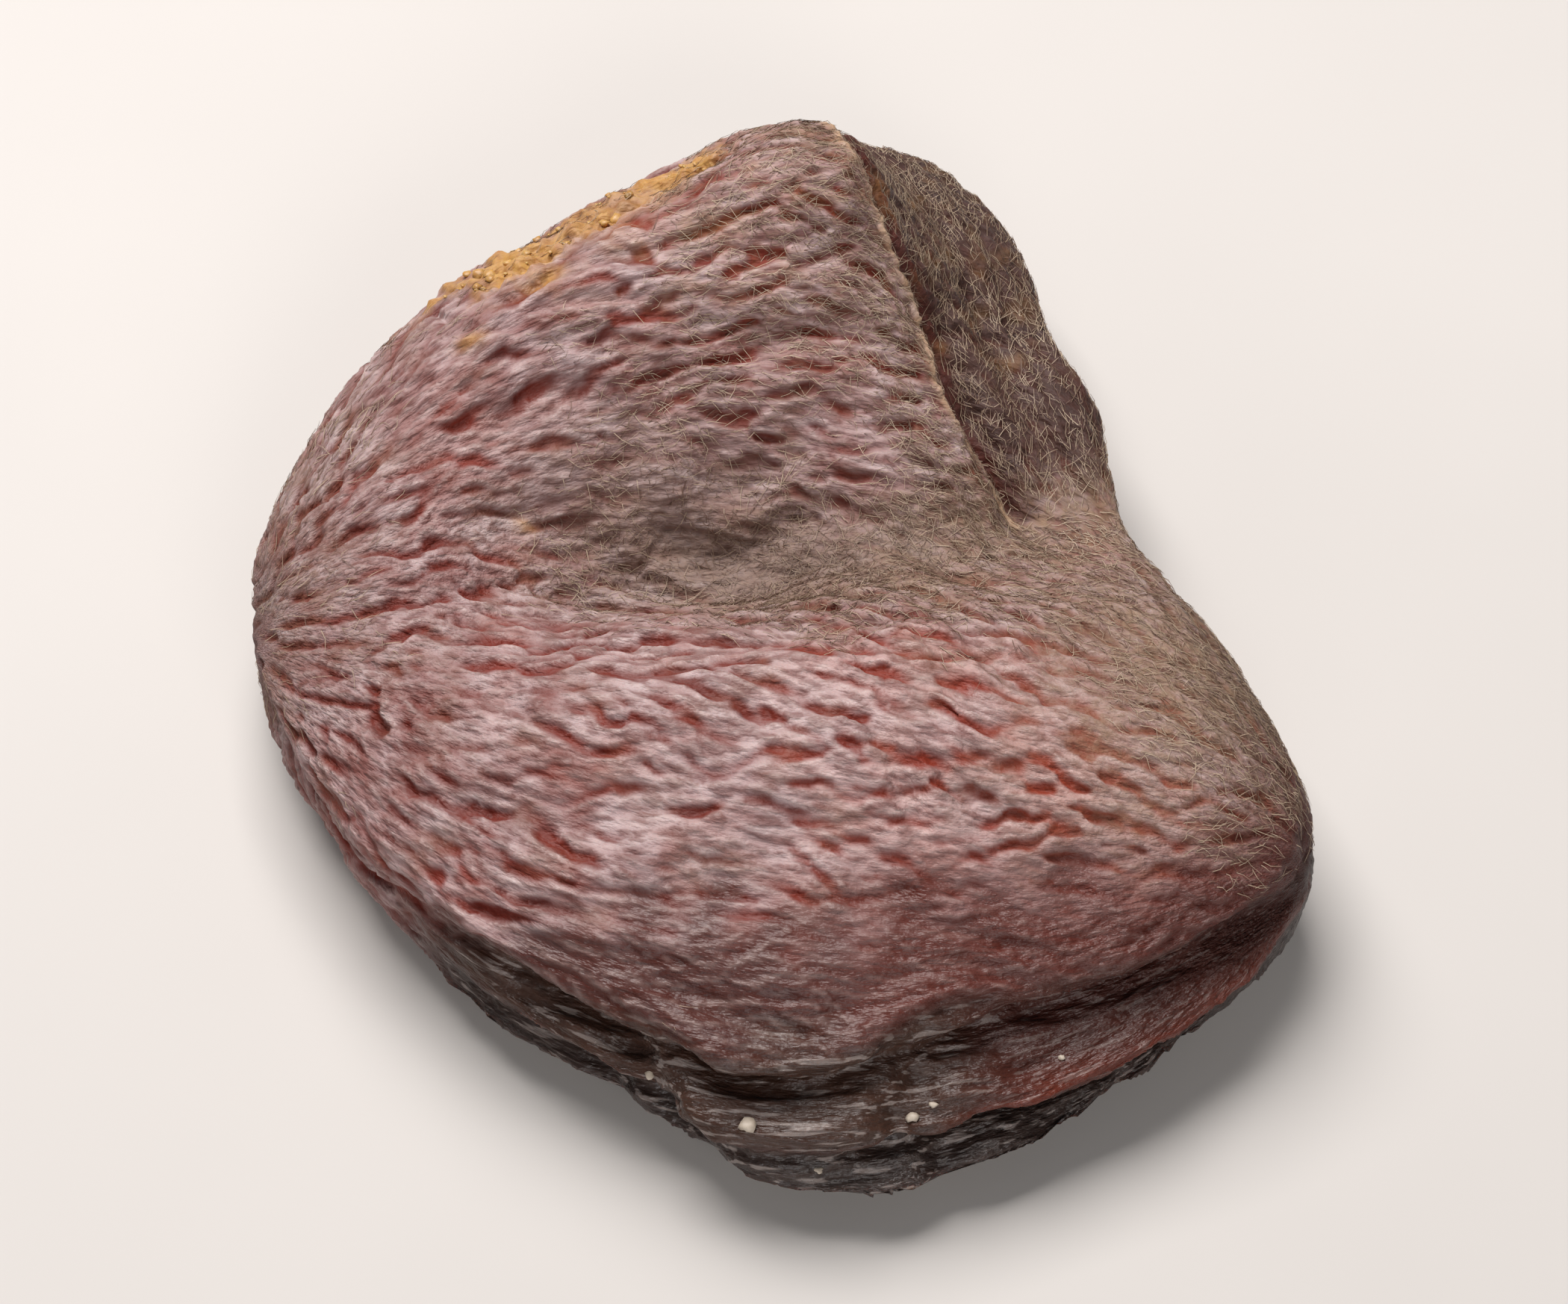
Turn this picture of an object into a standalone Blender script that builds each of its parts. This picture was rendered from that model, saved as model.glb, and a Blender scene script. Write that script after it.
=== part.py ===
"""A whole dried apricot, pitted and sun-dried, lying on its flatter side.

The fruit is one solid. A sphere whose poles are the fruit's two pinched ends is pressed into a pillow
that fills the fruit's outline, then hollowed where the pit was, creased along the suture, folded at the
mouth between its two halves, and wrinkled. Lengths are in millimetres until the mesh is finished.
"""

import math

import bmesh
import bpy
from mathutils import Vector, noise

MM = 0.001

# Driving dimensions, in millimetres. X is to the right, Y is away from the mouth and Z is up.
WIDTH = 37.5
LENGTH = 42.5
SEAM_HEIGHT = 4.4
TOP_HEIGHT = 7.9
FLAT_SPOT_DEPTH = 0.8
UPPER_BOXINESS = 3.0
LOWER_BOXINESS = 3.2

# Bearing in degrees, anticlockwise from +X, and the distance of the upper half's rim from the middle.
RIM = (
    (3, 14.6),
    (17, 13.2),
    (30, 13.1),
    (45, 15.0),
    (57, 16.8),
    (68, 19.8),
    (80, 22.2),
    (94, 22.0),
    (106, 20.7),
    (120, 19.6),
    (135, 19.5),
    (150, 19.3),
    (165, 19.4),
    (180, 18.8),
    (196, 17.4),
    (212, 16.6),
    (230, 16.2),
    (246, 16.3),
    (260, 17.0),
    (275, 16.7),
    (289, 16.1),
    (304, 16.7),
    (318, 18.0),
    (331, 19.4),
    (342, 18.3),
    (353, 15.9),
)

# How far the folds in the mouth reach out past the rim, by bearing.
MIDDLE_FOLD = (
    (0, 0.0),
    (120, 0.0),
    (235, 0.0),
    (252, 0.3),
    (264, 1.0),
    (275, 1.5),
    (288, 2.0),
    (300, 2.1),
    (313, 1.5),
    (326, 0.7),
    (340, 0.0),
)
LOWER_LIP = (
    (0, 0.0),
    (120, 0.0),
    (205, 0.0),
    (230, 0.6),
    (248, 0.8),
    (257, 1.0),
    (266, 2.7),
    (277, 3.9),
    (289, 4.1),
    (300, 3.2),
    (313, 2.0),
    (325, 0.9),
    (340, 0.0),
)
MIDDLE_FOLD_LEVEL = (4.1, 0.75)
LOWER_LIP_LEVEL = (2.0, 1.2)
MOUTH_GROOVE = (5.0, 0.55, 1.5)
FOLD_GROOVE = (3.2, 0.4, 0.7)
MOUTH_ENDS = (205.0, 238.0, 326.0, 340.0)
SEAM_GROOVE = (4.4, 0.8, 0.35)

# Swellings and hollows of the upper side: middle x, middle y, half-width, half-depth, turn in degrees, height.
RELIEF = (
    (-8.0, 13.8, 11.0, 5.0, 32.0, 4.6),
    (1.5, 16.5, 4.0, 5.5, 14.0, 4.2),
    (0.5, -4.8, 11.5, 5.6, -5.0, 2.4),
    (13.5, -5.5, 4.6, 4.0, -35.0, 0.8),
    (-13.5, 3.0, 4.0, 7.0, 15.0, 0.8),
    (-3.8, 2.8, 6.8, 3.2, 9.0, -3.0),
    (9.8, 5.0, 5.4, 2.3, 14.0, -2.0),
)

# The suture: a crease from the top lobe down to the pinch, past which the skin steps down.
SUTURE = ((1.6, 19.0), (2.3, 17.6), (3.4, 15.0), (4.6, 11.6), (5.7, 7.8), (7.6, 5.1), (8.8, 4.3))
SUTURE_STEP = 1.3
SUTURE_STEP_WIDTH = 0.8
SUTURE_GROOVE = 0.55
SUTURE_GROOVE_WIDTH = 0.6

# The pinch at the crease's lower end.
PINCH = (11.0, 5.0)
PINCH_RADIUS = 3.4
PINCH_ROUNDS = 3

# The slit: a shallow tear along the rim that shows the flesh.
SLIT = ((-11.0, 13.0), (-9.2, 14.3), (-6.6, 16.0), (-4.3, 17.4), (-2.4, 18.4))
SLIT_DEPTH = 0.45
SLIT_WIDTH = 0.75

# Wrinkles run from one pinched end to the other, and sway and fade on the way.
WRINKLES_ROUND_GIRTH = 31
WRINKLE_HEIGHT = 0.85
WRINKLE_SWAY = 2.0
SWAY_SPACING = 8.0
FADE_LENGTH = 6.0
FADE_SPACING = 3.2
WAVE_HEIGHT = 0.5
WAVE_SPACING = 7.0

# The mesh: meridians run from end to end, rings go round. The right-hand end is swung to the pinched tip.
MERIDIANS = 176
RINGS = 31
MOUTH_FINENESS = 0.7
UNDERSIDE_FINENESS = 0.65
RIGHT_END_SWING = math.radians(27.0)


def clear_scene():
    for obj in list(bpy.data.objects):
        bpy.data.objects.remove(obj, do_unlink=True)


def smooth_step(low, high, value):
    share = min(1.0, max(0.0, (value - low) / (high - low)))
    return share * share * (3.0 - 2.0 * share)


def bell(distance, half_width):
    return math.exp(-((distance / half_width) ** 2))


def around(compass, bearing):
    """The distance at this bearing, on a smooth closed curve through the listed ones."""
    count = len(compass)
    bearing %= 360.0
    last = max((i for i in range(count) if compass[i][0] <= bearing), default=-1)
    near = []
    for step in (-1, 0, 1, 2):
        turns, index = divmod(last + step, count)
        angle, distance = compass[index]
        near.append((angle + 360.0 * turns, distance))
    (a0, r0), (a1, r1), (a2, r2), (a3, r3) = near
    t = (bearing - a1) / (a2 - a1)
    slope_1 = (r2 - r0) / (a2 - a0) * (a2 - a1)
    slope_2 = (r3 - r1) / (a3 - a1) * (a2 - a1)
    return (
        (2 * t**3 - 3 * t**2 + 1) * r1
        + (t**3 - 2 * t**2 + t) * slope_1
        + (3 * t**2 - 2 * t**3) * r2
        + (t**3 - t**2) * slope_2
    )


def offset_from(line, x, y):
    """Distance from a crease line, positive on its right-hand side, and the share of it passed so far."""
    best = None
    for index, (start, end) in enumerate(zip(line, line[1:])):
        run = Vector(end) - Vector(start)
        out = Vector((x, y)) - Vector(start)
        share = min(1.0, max(0.0, out.dot(run) / run.length_squared))
        away = (out - run * share).length
        side = 1.0 if run.x * out.y - run.y * out.x > 0 else -1.0
        if best is None or away < abs(best[0]):
            best = (side * away, (index + share) / (len(line) - 1))
    return best


def top_height(x, y):
    """Height of the upper side at a point of the plan."""
    height = TOP_HEIGHT
    for middle_x, middle_y, half_width, half_depth, turn, rise in RELIEF:
        angle = math.radians(turn)
        across = (x - middle_x) * math.cos(angle) + (y - middle_y) * math.sin(angle)
        along = (y - middle_y) * math.cos(angle) - (x - middle_x) * math.sin(angle)
        height += rise * bell(across, half_width) * bell(along, half_depth)
    offset, share = offset_from(SUTURE, x, y)
    fade = smooth_step(1.0, 0.85, share)
    right_side = smooth_step(-0.2, SUTURE_STEP_WIDTH, offset)
    height -= SUTURE_GROOVE * bell(offset - 0.4, SUTURE_GROOVE_WIDTH) * fade
    height -= SUTURE_STEP * right_side * bell(max(0.0, offset - 2.0), 3.0) * fade
    return height


def wall_reach(bearing, height):
    """How far the fruit's side reaches at this bearing and height."""
    reach = around(RIM, bearing)
    fold_height, fold_width = MIDDLE_FOLD_LEVEL
    lip_height, lip_width = LOWER_LIP_LEVEL
    reach += around(MIDDLE_FOLD, bearing) * bell(height - fold_height, fold_width)
    reach += around(LOWER_LIP, bearing) * bell(height - lip_height, lip_width)
    left_shut, left_open, right_open, right_shut = MOUTH_ENDS
    openness = smooth_step(left_shut, left_open, bearing) * smooth_step(right_shut, right_open, bearing)
    for level, half_width, depth in (MOUTH_GROOVE, FOLD_GROOVE):
        reach -= depth * openness * bell(height - level, half_width)
    level, half_width, depth = SEAM_GROOVE
    return reach - depth * (1.0 - openness) * bell(height - level, half_width)


def pillow_point(end_angle, girth_angle):
    """The smooth fruit's point at these angles: from the right-hand end, and round the girth from the mouth.

    Also gives the point's place on a flat disc of radius one, where the wrinkles are laid out.
    """
    dx = math.cos(end_angle)
    dy = -math.sin(end_angle) * math.cos(girth_angle)
    dz = math.sin(end_angle) * math.sin(girth_angle)
    out = math.hypot(dx, dy)
    boxiness = UPPER_BOXINESS if dz >= 0 else LOWER_BOXINESS
    swell = (out**boxiness + abs(dz) ** boxiness) ** (-1.0 / boxiness)
    share = out * swell
    level = dz * swell
    turn = math.atan2(dy, dx)
    swung = turn - RIGHT_END_SWING * max(0.0, math.cos(turn)) ** 2
    bearing = math.degrees(swung) % 360.0
    if level >= 0:
        rim = around(RIM, bearing) * share
        height = SEAM_HEIGHT + (top_height(rim * math.cos(swung), rim * math.sin(swung)) - SEAM_HEIGHT) * level
    else:
        height = SEAM_HEIGHT * (1.0 + level)
    reach = wall_reach(bearing, height) * share
    place = Vector((reach * math.cos(swung), reach * math.sin(swung), height))
    return place, (share * math.cos(turn), share * math.sin(turn))


def wrinkle(place, disc, girth_share):
    """Height of the wrinkled skin over the smooth fruit: rounded folds with narrow creases between them."""
    u = disc[0]
    calm_ends = max(0.0, 1.0 - u * u) ** 0.8
    girth_turn = 2.0 * math.pi * girth_share
    round_girth = Vector((0.0, math.cos(girth_turn), math.sin(girth_turn))) * LENGTH / 3.0
    along = Vector((u * WIDTH / 2.0, 0.0, 0.0))
    sway = noise.noise((along + round_girth) / SWAY_SPACING)
    phase = math.pi * (WRINKLES_ROUND_GIRTH * girth_share + WRINKLE_SWAY * sway)
    fold = math.hypot(math.sin(phase), 0.25) - 0.75
    fade = noise.noise(along / FADE_LENGTH + round_girth / FADE_SPACING + Vector((5.0, 1.0, 2.0)))
    strength = 0.5 + 0.5 * smooth_step(-0.3, 0.3, fade)
    wave = noise.noise(place / WAVE_SPACING + Vector((7.0, 3.0, 5.0)))
    return calm_ends * (WRINKLE_HEIGHT * strength * fold + WAVE_HEIGHT * wave)


def slit_depth(place):
    """Depth of the torn slit along the rim."""
    offset, share = offset_from(SLIT, place.x, place.y)
    fade = smooth_step(0.0, 0.2, share) * smooth_step(1.0, 0.8, share) * smooth_step(5.0, 7.0, place.z)
    return SLIT_DEPTH * bell(offset, SLIT_WIDTH) * fade


def even_angles(place_at, span, count, fineness):
    """The angles that cut a path into this many steps, of lengths in inverse proportion to the fineness."""
    fine = 720
    angles = [span * step / fine for step in range(fine + 1)]
    places = [place_at(angle) for angle in angles]
    travelled = [0.0]
    for index in range(fine):
        middle = (angles[index] + angles[index + 1]) / 2.0
        travelled.append(travelled[-1] + (places[index + 1] - places[index]).length * fineness(middle))
    chosen = []
    index = 0
    for step in range(count + 1):
        goal = travelled[-1] * step / count
        while index < fine - 1 and travelled[index + 1] < goal:
            index += 1
        share = (goal - travelled[index]) / (travelled[index + 1] - travelled[index])
        chosen.append(angles[index] + share * (angles[index + 1] - angles[index]))
    return chosen


def shares_of_path(place_at, angles):
    """The share of a path's length that is passed at each of these angles."""
    travelled = [0.0]
    for start, end in zip(angles, angles[1:]):
        travelled.append(travelled[-1] + (place_at(end) - place_at(start)).length)
    return [distance / travelled[-1] for distance in travelled]


def girth_fineness(girth_angle):
    """The mesh is fine at the mouth and coarse on the underside."""
    side = math.cos(girth_angle)
    fineness = 1.0 + MOUTH_FINENESS * smooth_step(0.75, 0.98, side)
    return fineness * (UNDERSIDE_FINENESS if math.sin(girth_angle) < 0 and abs(side) < 0.9 else 1.0)


def middle_girth(girth_angle):
    return pillow_point(math.pi / 2.0, girth_angle)[0]


def middle_ridge(end_angle):
    return pillow_point(end_angle, math.pi / 2.0)[0]


def build_apricot():
    girth_angles = even_angles(middle_girth, 2.0 * math.pi, MERIDIANS, girth_fineness)
    girth_shares = shares_of_path(middle_girth, girth_angles)
    end_angles = even_angles(middle_ridge, math.pi, RINGS, lambda angle: 1.0)
    bm = bmesh.new()
    bmesh.ops.create_uvsphere(bm, u_segments=MERIDIANS, v_segments=RINGS, radius=1.0)
    layout = []
    for vert in bm.verts:
        ring = round(math.acos(max(-1.0, min(1.0, vert.co.z))) / math.pi * RINGS)
        meridian = round(math.atan2(vert.co.y, vert.co.x) / (2.0 * math.pi) * MERIDIANS) % MERIDIANS
        vert.co, disc = pillow_point(end_angles[ring], girth_angles[meridian])
        layout.append((disc, girth_shares[meridian]))
    bmesh.ops.recalc_face_normals(bm, faces=bm.faces)
    bm.normal_update()
    raised = []
    for vert, (disc, girth_share) in zip(bm.verts, layout):
        height = wrinkle(vert.co, disc, girth_share) - slit_depth(vert.co)
        raised.append(vert.co + vert.normal * height)
    for vert, place in zip(bm.verts, raised):
        vert.co = place
    ease_pinch(bm)
    rest_on_flat_spot(bm)
    fit_to_size(bm)
    mesh = bpy.data.meshes.new("dried_apricot")
    bm.to_mesh(mesh)
    bm.free()
    mesh.shade_smooth()
    apricot = bpy.data.objects.new("dried_apricot", mesh)
    bpy.context.scene.collection.objects.link(apricot)
    return apricot


def ease_pinch(bm):
    """Rounds off the skin where the crease, the valley and the rim meet."""
    near = [vert for vert in bm.verts if math.hypot(vert.co.x - PINCH[0], vert.co.y - PINCH[1]) < PINCH_RADIUS]
    for _ in range(PINCH_ROUNDS):
        bmesh.ops.smooth_vert(bm, verts=near, factor=0.5, use_axis_x=True, use_axis_y=True, use_axis_z=True)


def rest_on_flat_spot(bm):
    """Presses the lowest skin flat, as the drying tray did."""
    floor = min(vert.co.z for vert in bm.verts) + FLAT_SPOT_DEPTH
    for vert in bm.verts:
        vert.co.z = max(vert.co.z, floor) - floor


def fit_to_size(bm):
    """Centres the fruit over its base point, gives it its outer size and turns it into metres."""
    low = [min(vert.co[axis] for vert in bm.verts) for axis in range(3)]
    high = [max(vert.co[axis] for vert in bm.verts) for axis in range(3)]
    scale_x = WIDTH / (high[0] - low[0])
    scale_y = LENGTH / (high[1] - low[1])
    for vert in bm.verts:
        x = (vert.co.x - (low[0] + high[0]) / 2.0) * scale_x
        y = (vert.co.y - (low[1] + high[1]) / 2.0) * scale_y
        vert.co = Vector((x, y, vert.co.z)) * MM


def skin_material():
    """Dried skin: brown-red, leathery, with a dull shine."""
    material = bpy.data.materials.new("apricot_skin")
    material.use_nodes = True
    shader = material.node_tree.nodes["Principled BSDF"]
    shader.inputs["Base Color"].default_value = (0.16, 0.045, 0.035, 1.0)
    shader.inputs["Roughness"].default_value = 0.45
    shader.inputs["Metallic"].default_value = 0.0
    return material


def main():
    clear_scene()
    apricot = build_apricot()
    apricot.data.materials.append(skin_material())


main()
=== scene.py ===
# %% [markdown]
# # A dried apricot
# A whole apricot loses its pit, lies on a tray in the sun and shrinks to a flat, wrinkled
# pouch. The CAD model already holds its form. This lesson gives it the finer things: a
# skin with millimetre wrinkles, short matted down, and the bare flesh at a small tear.
# We start by loading the CAD model, because every piece is made in its frame.

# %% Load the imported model
import math
import random

import bmesh
import bpy
import numpy as np
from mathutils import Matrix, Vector, noise
from mathutils.bvhtree import BVHTree
from mathutils.kdtree import KDTree


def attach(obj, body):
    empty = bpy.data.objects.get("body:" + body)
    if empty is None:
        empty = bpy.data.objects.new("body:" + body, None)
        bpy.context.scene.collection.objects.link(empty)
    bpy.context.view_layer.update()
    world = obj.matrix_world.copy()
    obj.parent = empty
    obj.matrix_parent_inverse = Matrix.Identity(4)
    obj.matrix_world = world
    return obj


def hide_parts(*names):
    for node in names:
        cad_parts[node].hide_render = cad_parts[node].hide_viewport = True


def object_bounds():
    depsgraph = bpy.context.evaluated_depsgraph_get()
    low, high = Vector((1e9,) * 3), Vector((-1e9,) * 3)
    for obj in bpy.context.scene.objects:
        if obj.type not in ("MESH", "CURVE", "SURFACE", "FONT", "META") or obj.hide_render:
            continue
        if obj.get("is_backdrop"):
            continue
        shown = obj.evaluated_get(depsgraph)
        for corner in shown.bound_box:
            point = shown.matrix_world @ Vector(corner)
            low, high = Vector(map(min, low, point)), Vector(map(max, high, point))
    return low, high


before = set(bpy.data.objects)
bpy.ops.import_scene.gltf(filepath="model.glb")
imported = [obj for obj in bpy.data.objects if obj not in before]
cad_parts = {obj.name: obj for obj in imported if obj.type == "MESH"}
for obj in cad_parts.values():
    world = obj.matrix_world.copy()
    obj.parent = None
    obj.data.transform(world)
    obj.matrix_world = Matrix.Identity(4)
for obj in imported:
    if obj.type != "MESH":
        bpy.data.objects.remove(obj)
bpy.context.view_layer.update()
MM = 0.001

# %% [markdown]
# ## The camera
# The fruit was photographed from close by and from well above, about 58 degrees over the
# table. A short distance keeps the gentle perspective of a close-up, and a long lens
# brings the fruit near to the edges of the picture, so that the wrinkles can be seen.

# %% Place the camera
LOOK_AT = Vector((0.25, -0.95, 4.8)) * MM
DISTANCE = 200 * MM
ELEVATION = math.radians(58)
PICTURE_WIDTH = 55.5 * MM
SENSOR_WIDTH = 36

toward_camera = Vector((0, -math.cos(ELEVATION), math.sin(ELEVATION)))
camera = bpy.data.objects.new("camera", bpy.data.cameras.new("camera"))
bpy.context.collection.objects.link(camera)
camera.location = LOOK_AT + toward_camera * DISTANCE
camera.rotation_euler = toward_camera.to_track_quat("Z", "Y").to_euler()
camera.data.sensor_width = SENSOR_WIDTH
camera.data.lens = SENSOR_WIDTH * DISTANCE / PICTURE_WIDTH
camera.data.clip_start = 5 * MM
bpy.context.scene.camera = camera
print("lens in mm:", round(camera.data.lens, 1))

# %% [markdown]
# ## Floor and light
# A plain pale floor and soft light show the skin without distraction. The large key light
# hangs above the fruit, a little behind it and to the left, so that it grazes the wrinkles
# and draws a pale glint along each of them. A weaker one in front opens the shadows, and a
# low white card gives the mouth of the fruit something to reflect.

# %% Helpers for colours, nodes and materials
def colour(code):
    """Turns a colour such as "#8E6A60" into the linear numbers that shaders take."""
    parts = [int(code[k:k + 2], 16) / 255 for k in (1, 3, 5)]
    return [p / 12.92 if p <= 0.04045 else ((p + 0.055) / 1.055) ** 2.4 for p in parts] + [1]


def add(tree, kind, links=(), **settings):
    """Adds a node, gives it its settings and joins sockets: links are (input, output)."""
    node = tree.nodes.new(kind)
    for name, value in settings.items():
        setattr(node, name, value)
    for socket, source in links:
        if isinstance(source, bpy.types.NodeSocket):
            tree.links.new(source, node.inputs[socket])
        else:
            node.inputs[socket].default_value = source
    return node


def new_material(name):
    """Starts a material: returns it, its node tree, its shader and the places to paint by."""
    material = bpy.data.materials.new(name)
    material.use_nodes = True
    tree = material.node_tree
    tree.nodes.clear()
    shader = add(tree, "ShaderNodeBsdfPrincipled")
    add(tree, "ShaderNodeOutputMaterial", [("Surface", shader.outputs["BSDF"])])
    return material, tree, shader, add(tree, "ShaderNodeTexCoord").outputs["Object"]


print("#8E6A60 in linear light:", [round(c, 3) for c in colour("#8E6A60")])

# %% A helper that makes an object of a mesh
def new_piece(name, form):
    """Puts the mesh that was built in a bmesh into the scene, under this name."""
    piece = bpy.data.objects.new(name, bpy.data.meshes.new(name))
    form.to_mesh(piece.data)
    form.free()
    bpy.context.collection.objects.link(piece)
    return piece


# %% A plain pale floor
# Painted board: one even colour with a faint mottle, so that it isn't a flat fill.
FLOOR_HALF_WIDTH = 0.7
MOTTLE_SIZE = 25 * MM

board, tree, shader, place = new_material("painted board")
mottle = add(tree, "ShaderNodeTexNoise", [("Vector", place), ("Scale", 1 / MOTTLE_SIZE), ("Detail", 3.0)])
shade = add(tree, "ShaderNodeMix", [("Factor", mottle.outputs["Fac"]), ("A", colour("#C3C0BC")),
                                    ("B", colour("#CBC8C4"))], data_type="RGBA")
tree.links.new(shade.outputs["Result"], shader.inputs["Base Color"])
shader.inputs["Roughness"].default_value = 0.7

floor_form = bmesh.new()
bmesh.ops.create_grid(floor_form, x_segments=8, y_segments=8, size=FLOOR_HALF_WIDTH)
floor = new_piece("floor", floor_form)
floor.data.materials.append(board)
floor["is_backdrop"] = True
print("floor is", round(floor.dimensions.x, 2), "m wide")

# %% Soft studio light
ROOM_LIGHT = 0.13


def area_light(name, at_mm, size_mm, watts, tint):
    """Adds a square light that faces the fruit."""
    light = bpy.data.objects.new(name, bpy.data.lights.new(name, "AREA"))
    bpy.context.collection.objects.link(light)
    light.location = Vector(at_mm) * MM
    light.rotation_euler = light.location.to_track_quat("Z", "Y").to_euler()
    light.data.size = size_mm * MM
    light.data.energy = watts
    light.data.color = colour(tint)[:3]


area_light("key", (-60, 150, 260), 200, 1.5, "#FFFAF8")
area_light("fill", (90, -280, 190), 160, 0.34, "#FFF8F4")
area_light("low card", (-30, -300, 45), 110, 0.2, "#FBFBFF")
world = bpy.data.worlds.new("room")
bpy.context.scene.world = world
world.use_nodes = True
world.node_tree.nodes["Background"].inputs["Color"].default_value = colour("#E6E8EE")
world.node_tree.nodes["Background"].inputs["Strength"].default_value = ROOM_LIGHT
bpy.context.scene.view_settings.view_transform = "Standard"

# %% [markdown]
# ## A finer skin
# The CAD model's triangles are too large for wrinkles of a millimetre. Subdividing them
# would keep their long shapes, so we wrap the form in a new even mesh with a voxel
# remesh, and smooth away its steps. The underside needs less detail, so it is thinned.
# This keeps the piece below 200,000 triangles.

# %% Copy and weld the CAD mesh
WELD_GAP = 0.0005 * MM

form = bmesh.new()
form.from_mesh(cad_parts["dried_apricot"].data)
bmesh.ops.remove_doubles(form, verts=form.verts, dist=WELD_GAP)
bmesh.ops.recalc_face_normals(form, faces=form.faces)
skin = new_piece("skin", form)
print("welded points:", len(skin.data.vertices))

# %% Wrap it in an even mesh
MESH_SIZE = 0.164 * MM


def applied(piece):
    """Replaces a piece's mesh by what its modifiers make of it."""
    seen = piece.evaluated_get(bpy.context.evaluated_depsgraph_get())
    finished = bpy.data.meshes.new_from_object(seen)
    piece.modifiers.clear()
    piece.data = finished


wrap = skin.modifiers.new("wrap", "REMESH")
wrap.mode = "VOXEL"
wrap.voxel_size = MESH_SIZE
even = skin.modifiers.new("even", "SMOOTH")
even.factor = 0.5
even.iterations = 8
applied(skin)
print("points after the wrap:", len(skin.data.vertices))

# %% Thin the underside
# Heights are in millimetres here, as all places and sizes on the fruit are from now on.
THIN_BELOW = 2.0
THIN_TO = 0.61

under = skin.vertex_groups.new(name="under")
points = np.empty(len(skin.data.vertices) * 3)
skin.data.vertices.foreach_get("co", points)
heights = points.reshape(-1, 3)[:, 2] / MM
bottom = float(heights.min())
under.add([int(k) for k in np.nonzero(heights < THIN_BELOW)[0]], 1.0, "REPLACE")
thin = skin.modifiers.new("thin", "DECIMATE")
thin.vertex_group = "under"
thin.use_collapse_triangulate = True
thin.ratio = THIN_TO
applied(skin)
skin.vertex_groups.clear()
print("triangles:", sum(len(face.vertices) - 2 for face in skin.data.polygons))
print("lowest point:", round(bottom, 2), "mm")

# %% [markdown]
# ## Where things are on the fruit
# Drying and handling treat each part of the skin in its own way. The hollow on top is
# dark and downy, the swelling in front of it is bare and shiny, the mouth is dark and
# glossy. Masks say how far each point belongs to such a part. They are plain sums over
# the points' places in millimetres, kept as numbers on the mesh, so they can steer
# both the wrinkles and the colours.

# %% Read the points as arrays
def read(mesh):
    """Returns the points' places, in millimetres, and their outward directions, as arrays."""
    places = np.empty(len(mesh.vertices) * 3)
    mesh.vertices.foreach_get("co", places)
    ways = np.empty(len(mesh.vertices) * 3)
    mesh.vertex_normals.foreach_get("vector", ways)
    return places.reshape(-1, 3) / MM, ways.reshape(-1, 3)


# Thinning can push a point of the flat underside out of it, so such points are put back.
at, out = read(skin.data)
at[:, 2] = np.maximum(at[:, 2], bottom)
x, y, z = at.T
lift = float(z.min())
print("points:", len(at), "highest at", round(float(z.max()), 2), "mm")

# %% Helpers that fade a mask
def ease(value, low, high):
    """0 at low, 1 at high, and a smooth change between them."""
    t = np.clip((value - low) / (high - low), 0, 1)
    return t * t * (3 - 2 * t)


def bell(value, middle, width):
    """1 at the middle, and fading like a bell to both sides."""
    return np.exp(-((value - middle) / width) ** 2)


def oval(centre, long, short, turn=0):
    """1 at a centre seen from above, and fading like a bell over an oval of these radii."""
    a = math.radians(turn)
    dx, dy = x - centre[0], y - centre[1]
    u = (dx * math.cos(a) + dy * math.sin(a)) / long
    v = (dy * math.cos(a) - dx * math.sin(a)) / short
    return np.exp(-u * u - v * v)


top = ease(out[:, 2], -0.2, 0.35)
print("points that face up:", int((top > 0.5).sum()))

# %% A helper for the distance from a line
FAR = 1e9


def beside(line):
    """Distance from a line of (x, y) points seen from above, positive on its right."""
    nearest = np.full(len(at), FAR)
    side = np.ones(len(at))
    for (x0, y0), (x1, y1) in zip(line, line[1:]):
        run = np.array((x1 - x0, y1 - y0))
        share = np.clip(((x - x0) * run[0] + (y - y0) * run[1]) / run.dot(run), 0, 1)
        dx, dy = x - x0 - share * run[0], y - y0 - share * run[1]
        away = np.hypot(dx, dy)
        closer = away < nearest
        nearest[closer] = away[closer]
        side[closer] = np.sign(run[1] * dx - run[0] * dy)[closer]
    return nearest * side


print("points right of the middle:", int((beside([(0, -1), (0, 1)]) > 0).sum()))

# %% A helper for soft random patches
# Blender's noise stays mostly within 0.6 of zero, so it is stretched to about -1 to 1.
NOISE_GAIN = 1.6
SEED_STEP = 13.7


def cloud(spacing, seed):
    """Soft random values of about -1 to 1, with patches of about this many millimetres."""
    grid = at / spacing + seed * SEED_STEP
    return np.array([noise.noise(Vector(p)) for p in grid]) * NOISE_GAIN


ragged = cloud(1.3, 2) * 0.45 + cloud(0.5, 3) * 0.25
print("ragged edge in mm:", round(float(ragged.min()), 2), "to", round(float(ragged.max()), 2))

# %% Masks of the upper side
# The suture runs from the notch at the right to the top lobe. The flap lies on its right.
NOTCH = (12.6, 5.0)
SUTURE = [(8.6, 4.2), (7.2, 5.9), (6.0, 7.8), (4.8, 11.6), (3.6, 14.1), (2.4, 16.6), (1.7, 18.2)]
VALLEY = [(4.5, 2.6), (8.8, 4.1), (10.5, 4.6), (13.0, 5.4)]

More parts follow.
